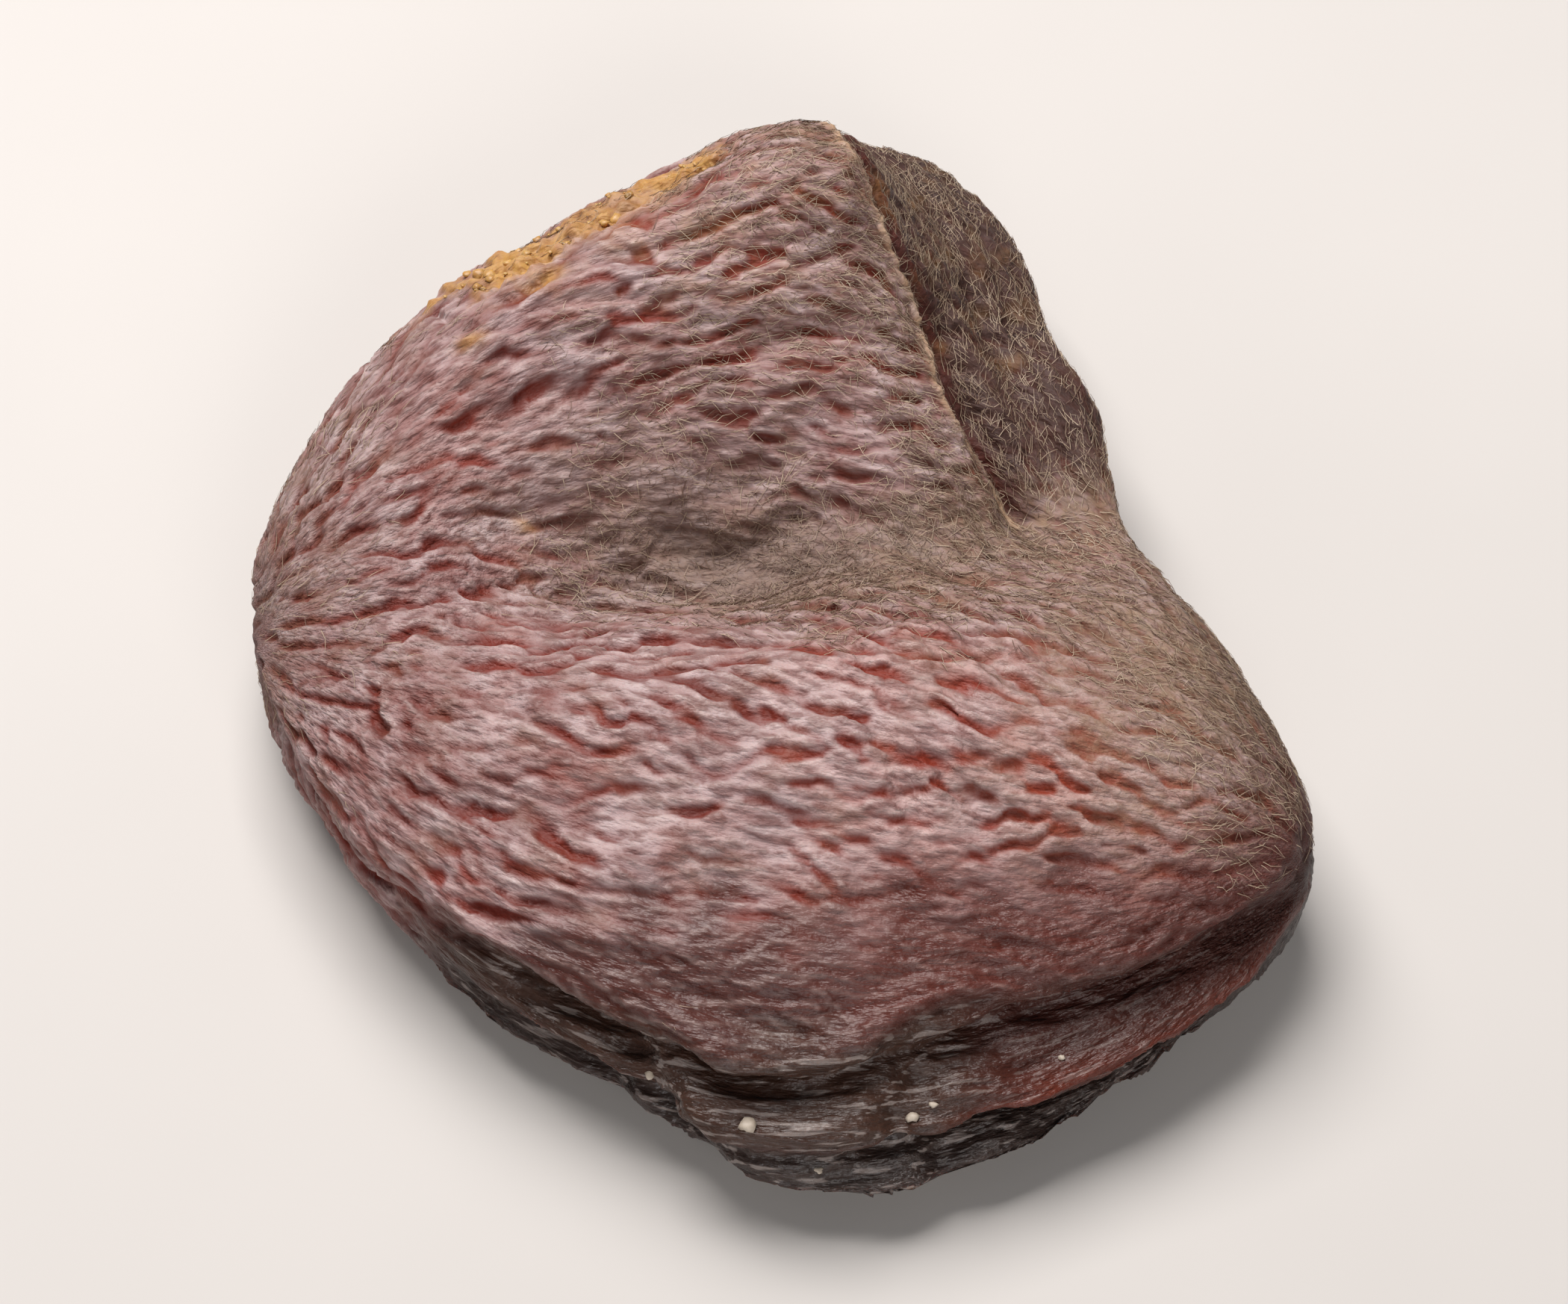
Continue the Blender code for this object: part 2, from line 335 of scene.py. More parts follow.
from_suture = beside([NOTCH] + SUTURE)
above_rim = ease(z, 4, 5)
left_of_notch = ease(x, 10.0, 8.0)
hollow = np.clip(oval((-2.4, 2.9), 5.2, 2.6, -14) + 0.45 * oval((3.2, 2.2), 3.4, 1.7, 10), 0, 1) * top
flap = ease(from_suture, 0.0, 0.5) * ease(y, 2.5, 5.5) * ease(x, 1.5, 3.0) * ease(z, 1.0, 3.0)
flap = np.clip(flap + 0.7 * ease(x + 0.35 * y, 12.5, 17.0) * ease(y, 5, 1) * top, 0, 1)
valley = bell(beside(VALLEY), 0, 1.7) * top
# seam_line raises a thin ridge. Its pale colour is a painted highlight on the ridge's lit edge.
seam_line = bell(beside(SUTURE) + 0.18 * cloud(1.2, 4), 0, 0.15) * above_rim
# The crease mask paints a dark red line in the step right of the suture: a painted shadow.
crease = bell(from_suture - 0.5 + 0.2 * ragged, 0, 0.42) * above_rim * left_of_notch
print("hollow, flap and valley points:", [int((m > 0.5).sum()) for m in (hollow, flap, valley)])

# %% Masks of the mouth
# The upper lip runs along the front at this height, with a red glow above it at the right.
# Below it lie a middle fold, which is red at the right, and the lower lip.
LIP_X = [-14.5, -12.1, -9.8, -6.9, -2.7, 0.3, 5.3, 10.4, 15.3, 17.7, 19.0]
LIP_Z = [4.6, 4.6, 5.2, 6.0, 6.5, 6.6, 6.6, 6.2, 5.9, 5.4, 5.0]

lip_height = np.interp(x, LIP_X, LIP_Z)
front = ease(y, -4.0, -8.0) * ease(x, -14.0, -10.5)
# The mouth's dark colours start a little above the edge of the upper lip, so they also paint the shade under
# it.
inside_mouth = front * ease(z, lip_height - 0.1, lip_height - 0.9)
lower_lip = inside_mouth * ease(z, 3.7, 3.0)
middle_fold = inside_mouth * (1 - lower_lip)
red_fold = middle_fold * ease(x, 4.5, 8.5)
red_edge = red_fold * bell(z, 3.75, 0.25)
lip_patches = cloud(1.6, 8)
# The lip band is a real red-brown band. Its dark colour is partly painted shade on the skin that faces the
# front.
lip_band = front * ease(z + 0.4 * lip_patches, lip_height + 1.3, lip_height + 0.5)
glow = front * ease(x, -1.0, 5.0) * ease(z + 0.3 * lip_patches, lip_height + 2.0, lip_height + 0.9)
glow = glow * (1 - inside_mouth)
print("fold and lip points:", [int((m > 0.5).sum()) for m in (middle_fold, lower_lip)])

# %% Masks of the tear
# Each patch has its weight, centre, long and short radius and turn.
TEAR = [(-2.6, 17.3), (-4.3, 16.5), (-6.4, 15.2), (-8.5, 13.5), (-10.0, 12.5), (-11.4, 11.6)]
TEAR_PATCHES = [(0.9, (-8.2, 11.4), 0.8, 0.35, 30), (0.7, (-10.9, 9.0), 0.6, 0.3, 20),
                (0.8, (-8.9, 3.0), 0.4, 0.25, 0)]

from_tear = beside(TEAR)
flesh = ease(np.abs(from_tear - 0.1) + ragged, 1.25, 0.45) * ease(z, 4.5, 6.5)
flesh = flesh * 0.8 + oval((-5.3, 15.3), 2.4, 0.9, 36) + oval((-9.0, 12.4), 1.6, 0.7, 30)
flesh = flesh - 0.4 * ragged * ease(y, 9, 11)
for weight, centre, long, short, turn in TEAR_PATCHES:
    flesh = flesh + weight * oval(centre, long, short, turn)
flesh = np.clip(flesh, 0, 1) * ease(z, 4, 6)
print("points of bare flesh:", int((flesh > 0.5).sum()))

# %% Masks of the down
# It stays in the hollows and at the edges. On the swellings it has been rubbed off.
bare = (oval((-3.0, -8.5), 12.5, 6.3, -6) + 0.55 * oval((-10.5, 5.5), 4.5, 4.5)
        + 0.5 * oval((9.5, -11.0), 8, 3.4, 15))
top_lobe = oval((1.5, 14.5), 5.0, 5.5)
front_shoulder = oval((2.5, -0.5), 9, 2.6, -8)
right_edge = oval((17.5, -5.5), 4.2, 7.5, -20)
left_edge = oval((-17, 4), 3, 8)
downy = (0.15 + 0.75 * hollow + 0.9 * valley + 0.35 * flap + 0.45 * top_lobe + 0.6 * front_shoulder
         + 0.75 * right_edge + 0.1 * left_edge + 0.5 * bell(from_suture, -0.9, 1.3)
         - 0.72 * bare + 0.22 * cloud(3.0, 5))
downy = np.clip(downy * (1 - inside_mouth) * (1 - 0.5 * flesh) * (1 - 0.85 * lip_band), 0, 1)
print("mean down:", round(float(downy.mean()), 2))

# %% Masks of the colours
# Tan bloom lies on the right and in the valley, embers are where the red flesh shines
# through, and the pale mask on the swellings is partly bloom and partly painted sheen.
tan = (oval((14.8, -2.8), 5.0, 7.5, -22) + 0.8 * valley + 0.55 * oval((3.0, 0.8), 8.5, 1.7, -8)
       + 0.3 * oval((-17.5, 2), 2.5, 8) + 0.2 * cloud(1.5, 6))
tan = np.clip(tan, 0, 1) * (1 - inside_mouth) * (1 - lip_band) * top
ember = (0.9 * oval((9.0, -9.0), 7.5, 4.0, 8) + 0.35 * oval((-1.0, 13.0), 6, 4)
         + 0.7 * oval((5.5, -3.8), 4.5, 1.8, 5) + 0.35 * cloud(2.0, 33))
# The pale mask is partly bloom and partly painted sheen. Its last term makes skin that faces up paler, which
# is a painted top light.
pale = (0.5 + 0.45 * oval((2.5, -7.5), 10.0, 4.5, -12) + 0.5 * oval((9, -8.5), 6.5, 4.5)
        + 0.2 * oval((0.5, 14.5), 6, 4.5) - 0.15 * oval((-13, -8), 6, 6)
        + 0.3 * cloud(3.0, 31) + 0.45 * cloud(1.1, 34) - 0.3 * ease(out[:, 2], 0.65, 0.2))
# The flap's dark colour is partly its own dark brown and partly painted shade.
dark_from = ease(from_suture + 0.5 * cloud(1.1, 61), 0.0, 0.3 + 2.4 * ease(x, 7.5, 9.5))
dark_and_shaded_flap = np.where(from_suture > 0, flap * dark_from, flap)
print("points with tan bloom:", int((tan > 0.5).sum()))

# %% [markdown]
# ## Wrinkles
# As the flesh dries and shrinks, the skin becomes too large for it and buckles. All folds
# have nearly the same width, because that depends on how thick the skin is, and they run
# together at the two pinched ends. Noise textures make round blobs instead. So we use
# phasor noise: thousands of small wave packets are laid on the skin, all about one fold
# wide and pointing across the folds. Their sum is a wave with forks and dead ends, as in
# skin. The wave's phase is shaped into flat ridges and sharp valleys, and they fade out
# where the wave is weak.

# %% The direction of the folds
LEFT_END = np.array((-19.3, -0.6, 5.0))
RIGHT_END = np.array((19.2, -9.3, 5.0))


def fold_direction(places, ways):
    """Unit directions that lead over the skin from the left end to the right one."""
    left, right = places - LEFT_END, RIGHT_END - places
    lead = left / (left ** 2).sum(1)[:, None] + right / (right ** 2).sum(1)[:, None]
    lead -= ways * (lead * ways).sum(1)[:, None]
    return lead / np.linalg.norm(lead, axis=1)[:, None]


lead = fold_direction(at, out)
print("mean direction:", [round(float(c), 2) for c in lead.mean(0)])

# %% Each point's place among the folds
# Noise that is stretched along these numbers makes strokes that follow the folds.
def fold_course(places):
    """Places by the folds: how far along them, and where their fold crosses the middle."""
    axis = RIGHT_END - LEFT_END
    half = np.linalg.norm(axis) / 2
    axis = axis / half / 2
    left, right = places - LEFT_END, places - RIGHT_END
    far_left, far_right = np.linalg.norm(left, axis=1), np.linalg.norm(right, axis=1)
    angle = np.arccos(np.clip((left * right).sum(1) / far_left / far_right, -1, 1))
    aside = left - axis * (left @ axis)[:, None]
    aside /= np.maximum(np.linalg.norm(aside, axis=1), 1e-6)[:, None]
    crossing = aside * (half / np.tan(angle / 2))[:, None]
    return np.stack([half * np.log(far_left / far_right), crossing[:, 1], crossing[:, 2]], axis=1)


course = fold_course(at)
print("course in mm, lowest:", course.min(0).round(1), "highest:", course.max(0).round(1))

# %% Sum the wave packets
# A packet's width as a share of a fold's, how many lengths it reaches, and the percentile
# of the wave's strength from which a fold is complete.
PACKET_WIDTH = 0.62
PACKET_REACH = 2.0
STRONG_PERCENTILE = 60

neighbours = KDTree(len(at))
for number, spot in enumerate(at):
    neighbours.insert(spot, number)
neighbours.balance()


def wave_sum(width, length, packets, stray, seed):
    """Adds up wave packets on the skin; returns the wave's phase and its strength."""
    dice = np.random.default_rng(seed)
    total = np.zeros(len(at), complex)
    for k in dice.integers(0, len(at), packets):
        near = np.array([found[1] for found in neighbours.find_range(at[k], PACKET_REACH * length)])
        gap = at[near] - at[k]
        turn = bend[k] + dice.normal(0, math.radians(stray))
        across = np.cross(out[k], lead[k])
        along = lead[k] * math.cos(turn) + across * math.sin(turn)
        across = across * math.cos(turn) - lead[k] * math.sin(turn)
        u, v = gap @ across, gap @ along
        facing = np.clip(out[near] @ out[k], 0, 1)
        weight = np.exp(-(u / (PACKET_WIDTH * width[k])) ** 2 - (v / length) ** 2) * facing
        total[near] += weight * np.exp(1j * (2 * math.pi * u / width[k] + dice.uniform(0, 2 * math.pi)))
    strength = np.abs(total)
    return np.angle(total), strength / np.percentile(strength, STRONG_PERCENTILE)


fold_width = (1.05 + 0.12 * oval((-2, -8), 10, 6) + 0.1 * oval((-8, 9), 6, 5)
              - 0.15 * oval((-17, 0), 4, 10) + 0.1 * cloud(4, 7) + 0.12 * cloud(1.6, 9))
bend = math.radians(26) * cloud(2.3, 40)
phase, strength = wave_sum(fold_width, length=2.1, packets=5400, stray=14, seed=11)
small_phase, small_strength = wave_sum(0.5 * fold_width, length=1.2, packets=10500, stray=20, seed=12)
print("wave strength, median:", round(float(np.median(strength)), 2))

# %% Shape the waves into ridges and valleys
# The powers make them narrow: a valley is narrower than a ridge, and a small crest is a line.
patchy = np.clip(0.72 + 0.5 * cloud(1.9, 13) + 0.3 * cloud(6.0, 14), 0.15, 1)
clear = np.clip(strength, 0, 1) ** 0.7 * patchy
jagged = phase + 0.55 * cloud(0.6, 50)
valley_share = clear * (0.5 - 0.5 * np.cos(jagged)) ** 2.2
crest_share = clear * bell(np.abs(phase), 1.3, 0.5)
small_share = np.clip(small_strength, 0, 1) * (0.5 - 0.5 * np.cos(small_phase)) ** 1.5
small_crest = np.clip(small_strength, 0, 1) * (0.5 + 0.5 * np.cos(small_phase)) ** 6
print("valley share, mean:", round(float(valley_share.mean()), 2))

# %% [markdown]
# ## Move the skin
# Each point now moves along its outward direction. The folds are deepest where the skin is
# bare and shallow in the hollow and on the lips, where it is stretched tight. The folds in
# the mouth get long pleats. The suture is a thin ridge with a crease on its right. Bare
# flesh is lumpy and stands a little proud, with a groove along it where the skin tore.

# %% Depths in millimetres
FOLD_DEPTH = 0.25
SMALL_CREST = 0.03
SMALL_DEPTH = 0.07
LUMPS = 0.10
PLEAT_DEPTH, PLEAT_LENGTH, PLEAT_WIDTH = 0.38, 8.0, 0.8
SEAM_HEIGHT, CREASE_DEPTH = 0.16, 0.3
FLESH_HEIGHT, GROOVE_DEPTH = 0.15, 0.25

fold_depth = (FOLD_DEPTH * (1 - 0.45 * hollow) * (1 - 0.35 * flap) * (1 - 0.7 * inside_mouth)
              * (1 - 0.4 * lip_band) * (1 - 0.4 * tan))
from_ends = np.minimum(np.linalg.norm(at - RIGHT_END, axis=1), np.linalg.norm(at - LEFT_END, axis=1))
pleat_grid = course / (PLEAT_LENGTH, PLEAT_WIDTH, PLEAT_WIDTH)
pleats = ease(from_ends, 2.0, 8.0) * np.abs(np.array([noise.noise(Vector(p)) for p in pleat_grid]))
groove = bell(from_tear + 0.9 + ragged, 0, 0.25) * ease(z, 5, 6.5)
print("pleats, highest:", round(float(pleats.max()), 2))

# %% Add them up and move the points
rise = fold_depth * (0.32 * crest_share - valley_share) + SMALL_CREST * small_crest
rise -= SMALL_DEPTH * small_share * (1 - 0.5 * lip_band)
rise += LUMPS * cloud(2.6, 15)
rise -= PLEAT_DEPTH * inside_mouth * pleats
rise += SEAM_HEIGHT * seam_line - CREASE_DEPTH * bell(from_suture, 0.35, 0.2) * above_rim * left_of_notch
rise += FLESH_HEIGHT * flesh * (0.5 + 1.2 * cloud(0.9, 21) + 0.9 * cloud(0.35, 22)) - GROOVE_DEPTH * groove
rise *= ease(z, 0.0, 0.6)
moved = at + out * rise[:, None]
# The underside goes down onto the floor, and nothing may go below it.
moved[:, 2] -= lift * ease(z, 1.5, 0.3)
moved[:, 2] = np.maximum(moved[:, 2], 0)
skin.data.vertices.foreach_set("co", (moved * MM).ravel())
skin.data.shade_smooth()
skin.data.update()
print("rise in mm:", round(float(rise.min()), 2), "to", round(float(rise.max()), 2))

# %% Keep the masks on the mesh
MASKS = {
    "ridge": 1 - 1.1 * valley_share - 0.3 * small_share, "crest": crest_share, "line": small_crest,
    "pale": pale, "ember": ember, "tan": tan, "downy": downy, "hollow": hollow, "flap": dark_and_shaded_flap,
    "lip_band": lip_band, "glow": glow, "mouth": inside_mouth * (1 - 0.6 * red_fold),
    "fold": middle_fold, "red_fold": red_fold, "red_edge": red_edge, "lip": lower_lip,
    "crease": crease, "suture": seam_line, "flesh": flesh,
}
for name, values in MASKS.items():
    layer = skin.data.attributes.new(name, "FLOAT", "POINT")
    layer.data.foreach_set("value", np.clip(values, 0, 1).astype(np.float32))
layer = skin.data.attributes.new("course", "FLOAT_VECTOR", "POINT")
layer.data.foreach_set("vector", course.astype(np.float32).ravel())
print("masks on the mesh:", len(MASKS))

# %% [markdown]
# ## The finish of the skin
# Skin dried without sulphur turns from orange to a brown red. The ridges have a pale, cool
# bloom and take the light. Part of that paleness is painted sheen, and the pale crest lines are
# painted highlights. The valleys stay moist and show the red flesh below. Light goes
# a millimetre into it, so the shader gets some subsurface scattering. The masks choose
# between a few colours, and noise at two sizes breaks each of them up.

# %% Helpers for the pattern
# They work on the material in hand, whose tree, shader and place new_material gave us.
def speckle(size_mm, detail=2.0, stretch=(1, 1, 1)):
    """Noise from 0 to 1, with grains of about this size; stretch lengthens them."""
    grid = add(tree, "ShaderNodeMapping", [("Vector", place), ("Scale", [1 / s for s in stretch])])
    return add(tree, "ShaderNodeTexNoise",
               [("Vector", grid.outputs["Vector"]), ("Scale", 1 / (size_mm * MM) / 2), ("Detail", detail)],
               ).outputs["Fac"]


def blend(share, first, second):
    """Mixes two colours, each a hex code, a plain level or a node's output."""
    pair = [colour(c) if isinstance(c, str) else [c] * 3 + [1] if isinstance(c, float) else c
            for c in (first, second)]
    return add(tree, "ShaderNodeMix", [("Factor", share), ("A", pair[0]), ("B", pair[1])],
               data_type="RGBA").outputs["Result"]


def curve(value, low, high, first=0.0, last=1.0):
    """Maps low..high to first..last, smoothly and without going past them."""
    return add(tree, "ShaderNodeMapRange",
               [("Value", value), ("From Min", low), ("From Max", high), ("To Min", first), ("To Max", last)],
               interpolation_type="SMOOTHSTEP").outputs["Result"]


def times(a, b):
    """Multiplies two numbers."""
    return add(tree, "ShaderNodeMath", [(0, a), (1, b)], operation="MULTIPLY").outputs["Value"]


def set_shader(values):
    """Sets the material's own sockets by their names."""
    for socket, value in values.items():
        shader.inputs[socket].default_value = value


print("a 0.16 mm grain has the scale", 1 / (0.16 * MM) / 2)

# %% Noise and masks for the skin
# Leather-like skin, dried in the sun without sulphur: satin ridges over moist valleys.
# Strokes and the glint streaks follow the folds: 2 to 4 mm long and about 0.3 mm wide.
leather, tree, shader, place = new_material("unsulphured apricot skin")
mask = {name: add(tree, "ShaderNodeAttribute", attribute_name=name).outputs["Fac"] for name in MASKS}
path = add(tree, "ShaderNodeAttribute", attribute_name="course").outputs["Vector"]


def along_folds(scale, detail):
    """Noise from 0 to 1 that is stretched along the folds."""
    drawn = add(tree, "ShaderNodeMapping", [("Vector", path), ("Scale", scale)])
    return add(tree, "ShaderNodeTexNoise", [("Vector", drawn.outputs["Vector"]), ("Scale", 1.0),
                                            ("Detail", detail)]).outputs["Fac"]


strokes = along_folds((0.55, 3.0, 3.0), 3.0)
glint_streaks = along_folds((0.28, 4.0, 4.0), 2.0)
fine = speckle(0.16, 3.0)
medium = speckle(1.6, 3.0, (1.6, 1, 1))
print("nodes so far:", len(tree.nodes))

# %% Ridges over valleys
# Pale ridges: partly bloom and partly painted sheen.
ridges = blend(mask["pale"], "#7B4C47", "#B09A9A")
ridges = blend(times(mask["ember"], 0.5), ridges, "#AC7464")
ridges = blend(curve(strokes, 0.42, 0.6, 0.0, 0.65), ridges, "#5E2E26")
# The pale crests and the pale lines of the small crests are painted highlights.
ridges = blend(times(mask["crest"], 0.35), ridges, "#B5A19C")
ridges = blend(times(mask["line"], 0.25), ridges, "#CDBFBB")
valleys = blend(medium, "#48150D", "#7E2716")
valleys = blend(times(mask["ember"], 0.7), valleys, "#8E2E14")
tone = blend(curve(mask["ridge"], 0.05, 0.92), valleys, ridges)
print("nodes for folds:", len(tree.nodes))

# %% Lay the parts' own colours over it
# Each line says how much of a colour shows, and the colour. The last line lies on top.
LAYERS = [
    (times(mask["downy"], curve(fine, 0.35, 0.65, 0.0, 0.35)), blend(strokes, "#5A3F30", "#9A8064")),
    (times(mask["tan"], curve(fine, 0.3, 0.7, 0.45, 0.9)), blend(strokes, "#634838", "#A38B70")),
    (times(mask["hollow"], curve(medium, 0.2, 0.8, 0.95, 0.65)), blend(fine, "#50403A", "#9C8579")),
    # Flap: its own dark brown, partly darkened as painted shade.
    (times(mask["flap"], curve(strokes, 0.3, 0.7, 1.0, 0.8)), blend(medium, "#1F0D09", "#42261C")),
    # Lip band: its own red-brown, darkened by painted shade.
    (times(mask["lip_band"], 0.9), blend(strokes, "#300F0A", "#54281F")),
    # Pale lines on the lip band: painted highlights on its small crests.
    (times(times(mask["line"], mask["lip_band"]), 0.4), "#A08A84"),
    (times(mask["glow"], curve(strokes, 0.35, 0.65, 0.75, 0.25)), blend(strokes, "#44140D", "#74382C")),
    (mask["fold"], blend(strokes, "#21140F", "#52372B")),
    (times(mask["red_fold"], 0.9), blend(medium, "#2C110C", "#52261D")),
    (times(mask["red_edge"], 0.5), "#74301E"),
    (mask["lip"], blend(strokes, "#1A1210", "#463630")),
    # Whitish streaks on the mouth's folds: painted highlights of fine lengthwise wrinkles.
    (times(curve(glint_streaks, 0.57, 0.64), times(mask["mouth"], 0.6)), "#968A84"),
    # The crease: painted shadow in the step right of the suture.
    (times(mask["crease"], 0.95), blend(fine, "#2A0B07", "#5A2012")),
    # The suture's pale line: a painted highlight on the lit edge of its ridge.
    (times(mask["suture"], 0.8), "#B3977A"),
    (times(mask["flesh"], curve(medium, 0.3, 0.6, 0.5, 1.0)), blend(fine, "#865026", "#CFA55C")),
]
for share, over in LAYERS:
    tone = blend(share, tone, over)
tree.links.new(tone, shader.inputs["Base Color"])
print("nodes with the layers:", len(tree.nodes))

# %% Gloss, depth and fine relief
# Down scatters the light, bare crests shine a little, and the mouth is the glossiest.
STROKE_RELIEF = 0.26 * MM
GRAIN_RELIEF = 0.07 * MM
GLOSS = [(times(mask["crest"], 0.9), 0.34), (mask["lip_band"], 0.42), (mask["flap"], 0.7),
         (mask["lip"], 0.33), (mask["fold"], 0.38)]

rough = blend(mask["downy"], blend(mask["ridge"], 0.6, 0.58), 0.85)
for share, level in GLOSS:
    rough = blend(share, rough, level)
tree.links.new(rough, shader.inputs["Roughness"])
set_shader({"Subsurface Weight": 0.1, "Subsurface Radius": (1.0, 0.4, 0.25), "Subsurface Scale": 0.9 * MM,
            "Specular IOR Level": 0.35, "Coat Weight": 0.03, "Coat Roughness": 0.3,
            "Sheen Weight": 0.04, "Sheen Roughness": 0.4})
lines = add(tree, "ShaderNodeBump", [("Height", strokes), ("Distance", STROKE_RELIEF), ("Strength", 1.0)])
grain = add(tree, "ShaderNodeBump", [("Height", fine), ("Distance", GRAIN_RELIEF), ("Strength", 0.8),
                                     ("Normal", lines.outputs["Normal"])])
tree.links.new(grain.outputs["Normal"], shader.inputs["Normal"])
skin.data.materials.clear()
skin.data.materials.append(leather)
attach(skin, "root")
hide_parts("dried_apricot")
print("skin material has", len(tree.nodes), "nodes")

# %% [markdown]
# ## Down
# An apricot is downy when it is fresh, and the down stays on as short matted threads. Hair
# curves would not leave Blender as a mesh, so each thread is a thin three-sided spike. An
# operator makes one spike, and its points are bent over the skin for every new thread.
# More of them grow where the down mask is high.

# %% One straight spike
SPIKE_RINGS = 2

spike_form = bmesh.new()
bmesh.ops.create_cone(spike_form, cap_ends=True, segments=3, radius1=1, radius2=0.35, depth=1)
bmesh.ops.translate(spike_form, vec=(0, 0, 0.5), verts=spike_form.verts)
long_edges = [e for e in spike_form.edges if abs(e.verts[0].co.z - e.verts[1].co.z) > 0.5]
bmesh.ops.subdivide_edges(spike_form, edges=long_edges, cuts=SPIKE_RINGS - 1)
bmesh.ops.triangulate(spike_form, faces=spike_form.faces)
spike = bpy.data.meshes.new("spike")
spike_form.to_mesh(spike)
spike_form.free()
spike_at = np.array([v.co for v in spike.vertices])
spike.attributes.new("shade", "FLOAT", "POINT")
print("triangles in a thread:", len(spike.polygons))

# %% Choose where the threads grow
# They spare the valleys, the bottom of the hollow, the crease and the left end.
THREADS = 17000

surface = BVHTree.FromPolygons([Vector(p) for p in moved], [tuple(f.vertices) for f in skin.data.polygons])
dice = np.random.default_rng(41)
wish = (np.clip(downy, 0, 1) ** 1.4 * ease(out[:, 2], -0.5, 0.1) * ease(z, 1.0, 2.5)
        * (1 - 0.85 * valley_share) * (1 - 0.6 * ease(x, -14, -17)))
wish *= (1 - 0.85 * oval((-3.2, 3.4), 4.2, 1.9, -14)) * (1 - 0.9 * bell(from_suture, 0.4, 0.45) * above_rim)
print("share of the skin with much down:", round(float((wish > 0.5).mean()), 2))

# %% The way that the down lies
# It follows the folds, but on the flap it lies along the suture.
ALONG_SUTURE = np.array((-0.4, 0.92, 0.0))
SUTURE_PULL = 4.0

on_flap = SUTURE_PULL * ease(from_suture, -0.3, 0.5)[:, None] * ease(y, 3.0, 6.0)[:, None]
heading = lead + on_flap * ALONG_SUTURE
heading -= out * (heading * out).sum(1)[:, None]
heading /= np.linalg.norm(heading, axis=1)[:, None]
print("mean heading:", heading.mean(0).round(2))

# %% The line that a thread follows
SHORTEST, LONGEST = 0.35, 1.1
ROOT_DEPTH = 0.03
LOWEST, HIGHEST = 0.03, 0.09


def thread_points(k):
    """Centre line of one thread: it starts in the skin and wanders close above it."""
    length = dice.uniform(SHORTEST, LONGEST)
    turn = dice.normal(0, 0.4 + 0.8 * hollow[k])
    step = heading[k] * math.cos(turn) + np.cross(out[k], heading[k]) * math.sin(turn)
    line = [moved[k] - out[k] * ROOT_DEPTH]
    spot = np.array(moved[k])
    for ring in range(SPIKE_RINGS):
        turn = dice.normal(0, 0.4 + 0.3 * hollow[k])
        step = step * math.cos(turn) + np.cross(out[k], step) * math.sin(turn)
        spot = spot + step * length / SPIKE_RINGS
        near, way, _, _ = surface.find_nearest(Vector(spot))
        spot = np.array(near) + np.array(way) * dice.uniform(LOWEST, HIGHEST)
        line.append(spot)
    return np.array(line)


print("one thread, in mm:", thread_points(100).round(2).tolist())

# %% Bend a spike over the skin for each thread
THINNEST, THICKNESS_SPREAD = 0.011, 0.008
REAR_FROM = 4.0


def grow_down(name, roots):
    """Makes a piece with a thread on each of these points."""
    form = bmesh.new()
    up = spike_at[:, 2] * SPIKE_RINGS
    low = np.clip(up.astype(int), 0, SPIKE_RINGS - 1)
    for k in roots:
        line = thread_points(k)
        middle = line[low] + (line[low + 1] - line[low]) * (up - low)[:, None]
        run = line[-1] - line[0]
        run /= np.linalg.norm(run)
        side = np.cross(run, out[k])
        side /= np.linalg.norm(side)
        thick = THINNEST + THICKNESS_SPREAD * dice.random()
        shape = middle + (spike_at[:, :1] * side + spike_at[:, 1:2] * np.cross(run, side)) * thick
        spike.vertices.foreach_set("co", (shape * MM).ravel())
        # Threads in the hollow are darker: painted shade in the recess.
        shade = dice.random() * (1 - 0.55 * hollow[k])
        spike.attributes["shade"].data.foreach_set("value", [shade] * len(spike_at))
        form.from_mesh(spike)
    bmesh.ops.recalc_face_normals(form, faces=form.faces)
    piece = new_piece(name, form)
    print(name, "has", len(piece.data.polygons), "triangles")
    return piece


roots = dice.choice(len(at), THREADS, replace=False, p=wish / wish.sum())
rear = y[roots] > REAR_FROM
downs = [grow_down("down_rear", roots[rear]), grow_down("down_front", roots[~rear])]

# %% The finish of the down
# Dried down is a straw colour, paler than the skin and without shine. The shade differs
# from thread to thread, and the threads in the hollow are darker, which is painted shade in the recess.
straw, tree, shader, place = new_material("apricot down")
shade = add(tree, "ShaderNodeAttribute", attribute_name="shade").outputs["Fac"]
patch = blend(speckle(2.5), "#937C66", "#C6B49C")
tree.links.new(blend(curve(shade, 0.1, 0.8), "#64493B", patch), shader.inputs["Base Color"])
set_shader({"Roughness": 0.6})
for down in downs:
    down.data.materials.append(straw)
    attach(down, "root")

# %% [markdown]
# ## Bare flesh and crumbs
# Where the skin tore as the pit was pushed out, dried flesh shows as orange, sugary crumbs.
# Each crumb is an icosphere whose points are pushed in and out by noise, because crumbs
# have no two sides alike. They sit half sunk in the tear.

# %% Helpers for grains on the skin
ABOVE = 20
HEIGHT_SHARE = 0.5
LUMPINESS = 0.8
CENTRE_RAISED = 0.12


def skin_below(spot):
    """The highest point of the skin at an (x, y), or None beside the fruit."""
    return surface.ray_cast(Vector((spot[0], spot[1], ABOVE)), Vector((0, 0, -1)))[0]


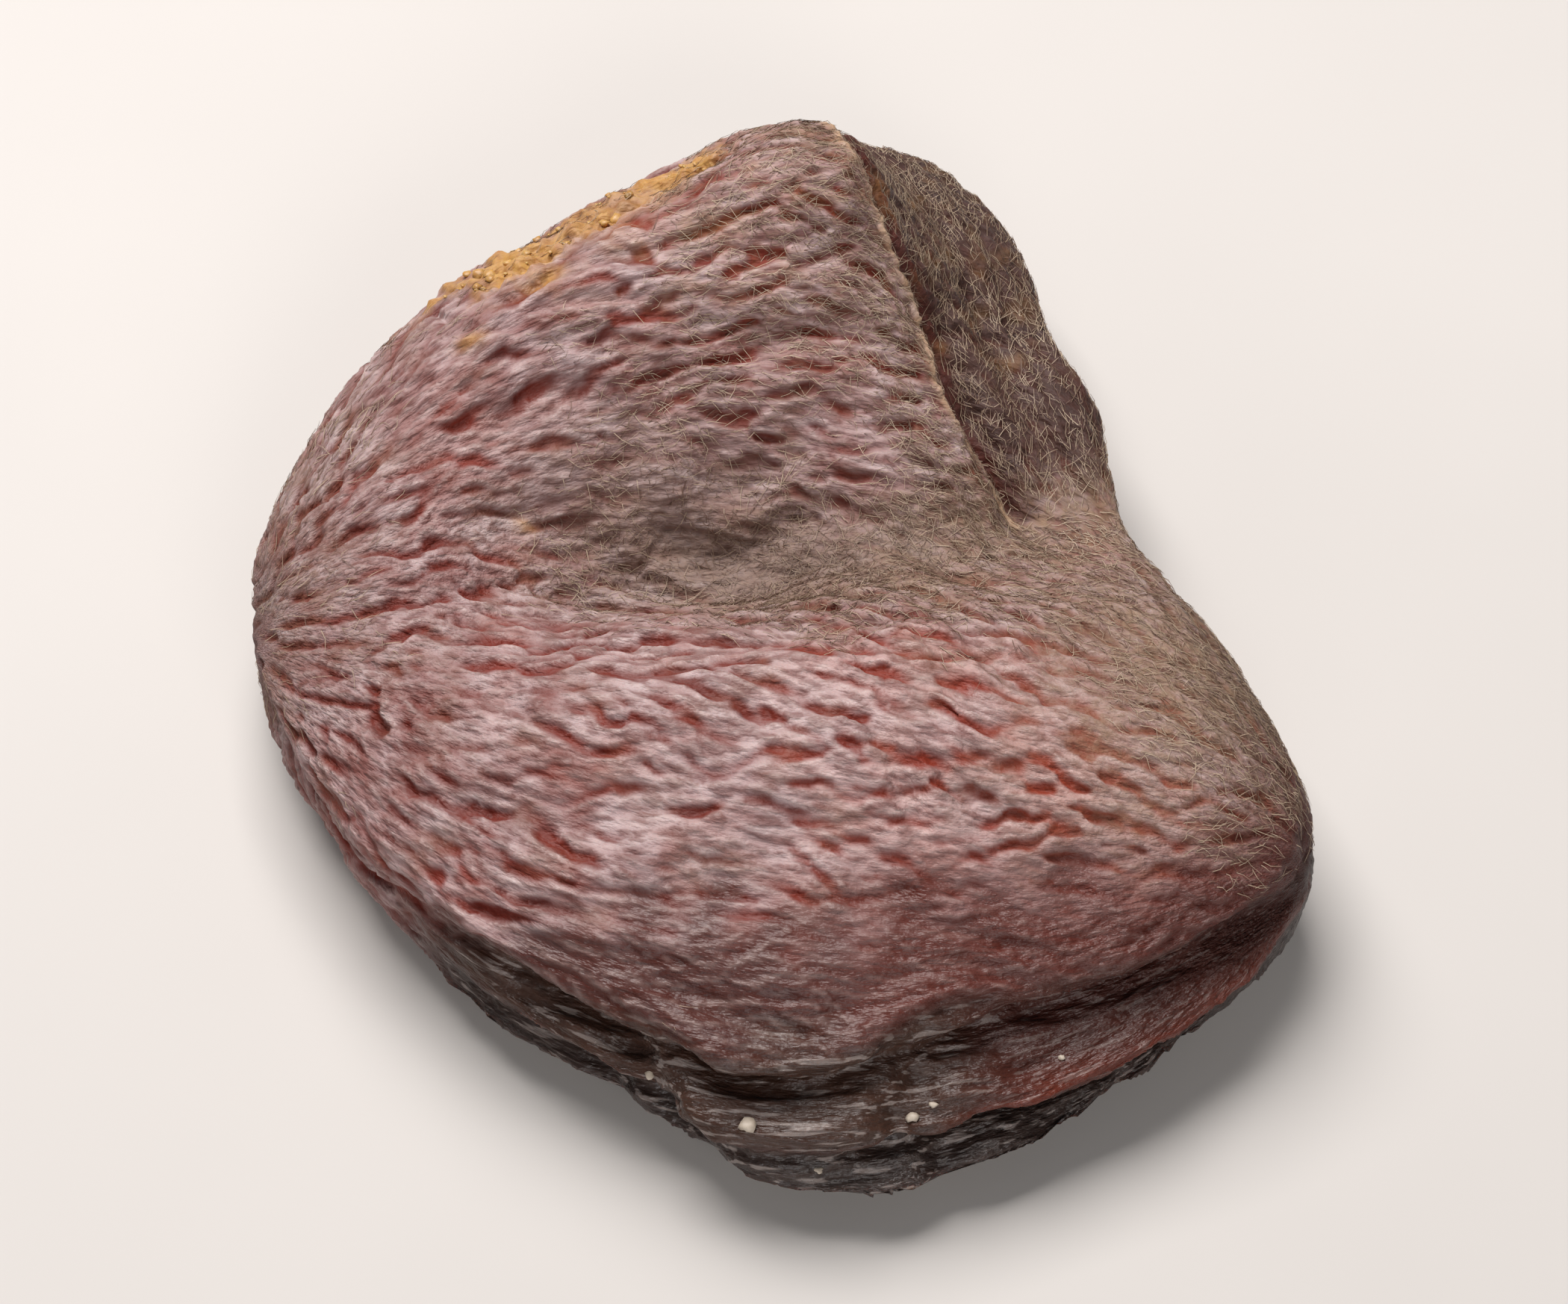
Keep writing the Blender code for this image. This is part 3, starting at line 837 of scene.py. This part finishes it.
def crumb(form, spot, size, seed):
    """Adds one lumpy grain of about this many millimetres at a place on the skin."""
    near, way, _, _ = surface.find_nearest(Vector(spot))
    ball = bmesh.ops.create_icosphere(form, subdivisions=2, radius=size / 2)
    squash = Vector((1.0, 0.7 + 0.4 * noise.random(), HEIGHT_SHARE))
    for vert in ball["verts"]:
        swell = 1 + LUMPINESS * noise.noise(vert.co / size * 2.1 + Vector((seed * 3.1, seed, 0)))
        lump = Vector([a * b for a, b in zip(vert.co, squash)]) * swell
        vert.co = lump + near + way * size * CENTRE_RAISED


def grains(name, form):
    """Makes a smooth piece, in metres, of grains that were laid out in millimetres."""
    bmesh.ops.scale(form, vec=(MM, MM, MM), verts=form.verts)
    piece = new_piece(name, form)
    piece.data.shade_smooth()
    print(name, "have", len(piece.data.polygons), "triangles")
    return piece


print("skin in the middle is at", round(skin_below((0, 0)).z, 2), "mm")

# %% Scatter crumbs along the tear
# Noise along the tear leaves gaps, so that the crumbs lie in clumps.
CRUMBS = 60
SCATTER = 0.6
SMALLEST, SIZE_SPREAD = 0.12, 0.36

noise.seed_set(5)
random.seed(5)
form = bmesh.new()
for number in range(CRUMBS):
    share = random.random() * (len(TEAR) - 1)
    low = int(share)
    (x0, y0), (x1, y1) = TEAR[low], TEAR[low + 1]
    spot = (x0 + (x1 - x0) * (share - low) + random.gauss(0, SCATTER),
            y0 + (y1 - y0) * (share - low) + random.gauss(0, SCATTER))
    hit = skin_below(spot)
    in_clump = noise.noise(Vector((share * 1.7, 3.3, 0))) > -0.12
    if hit and in_clump:
        crumb(form, hit, SMALLEST + SIZE_SPREAD * random.random() ** 2, number)
crumbs = grains("crumbs", form)

# %% The finish of the crumbs
# Bare flesh keeps the fruit's own orange. Its dried sugar makes it glint.
sugary, tree, shader, place = new_material("dried apricot flesh")
tree.links.new(blend(speckle(1.0), "#7E4C24", "#D8B068"), shader.inputs["Base Color"])
set_shader({"Roughness": 0.42, "Subsurface Weight": 0.3, "Subsurface Radius": (1.0, 0.5, 0.2),
            "Subsurface Scale": 0.5 * MM})
crumbs.data.materials.append(sugary)
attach(crumbs, "root")

# %% A few pale specks
# Sugar that came out of the flesh sits as specks on the folds of the mouth. Each has its
# place, its size and the seed of its lumps.
SPECKS = [((-1.0, -19.4), 0.55, 200), ((1.4, -20.3), 0.3, 202), ((4.6, -18.9), 0.42, 203),
          ((5.3, -18.6), 0.3, 204), ((-4.3, -17.2), 0.34, 205), ((9.7, -16.7), 0.26, 206)]

form = bmesh.new()
for spot, size, seed in SPECKS:
    crumb(form, skin_below(spot), size, seed)
specks = grains("specks", form)

# %% The finish of the specks
# Sugar that dried in the air is chalky: off-white, uneven and nearly without shine.
chalky, tree, shader, place = new_material("dried sugar")
tree.links.new(blend(speckle(0.2), "#8A7A68", "#CFC4B4"), shader.inputs["Base Color"])
set_shader({"Roughness": 0.5})
specks.data.materials.append(chalky)
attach(specks, "root")

# %% [markdown]
# ## The size of the dressed fruit
# The dressed fruit has to stay inside the CAD model's box, apart from the skin's finest
# relief, so we print its box.

# %% Print the dressed fruit's box
low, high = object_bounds()
print("visual box in mm:", [round(side / MM, 2) for side in high - low])
